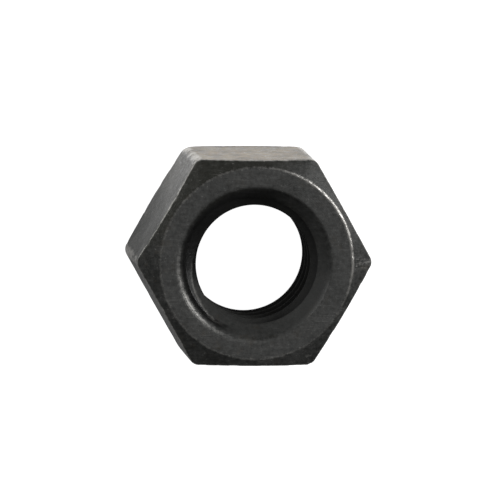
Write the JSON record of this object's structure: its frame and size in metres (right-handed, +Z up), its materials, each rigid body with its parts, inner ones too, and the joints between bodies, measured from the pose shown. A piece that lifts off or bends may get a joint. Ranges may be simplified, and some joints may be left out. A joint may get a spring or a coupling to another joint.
{
  "type": "hex nut",
  "caption": "Plain hexagon nut in blackened steel: chamfered on both faces, countersunk and tapped with a right-hand coarse thread.",
  "frame": {"origin": "centre of the lower bearing face, on the thread's axis", "axes": "+Z up along the thread's axis, +X towards a corner of the hexagon, +Y towards the middle of a wrench flat"},
  "size_m": [0.0204, 0.018, 0.0108],
  "materials": {
    "black_oxide_steel": "black oxide over forged and machined steel, satin, worn to brighter metal on the rims"
  },
  "bodies": {
    "root": {"hex_nut": "black_oxide_steel"}
  },
  "joints": []
}
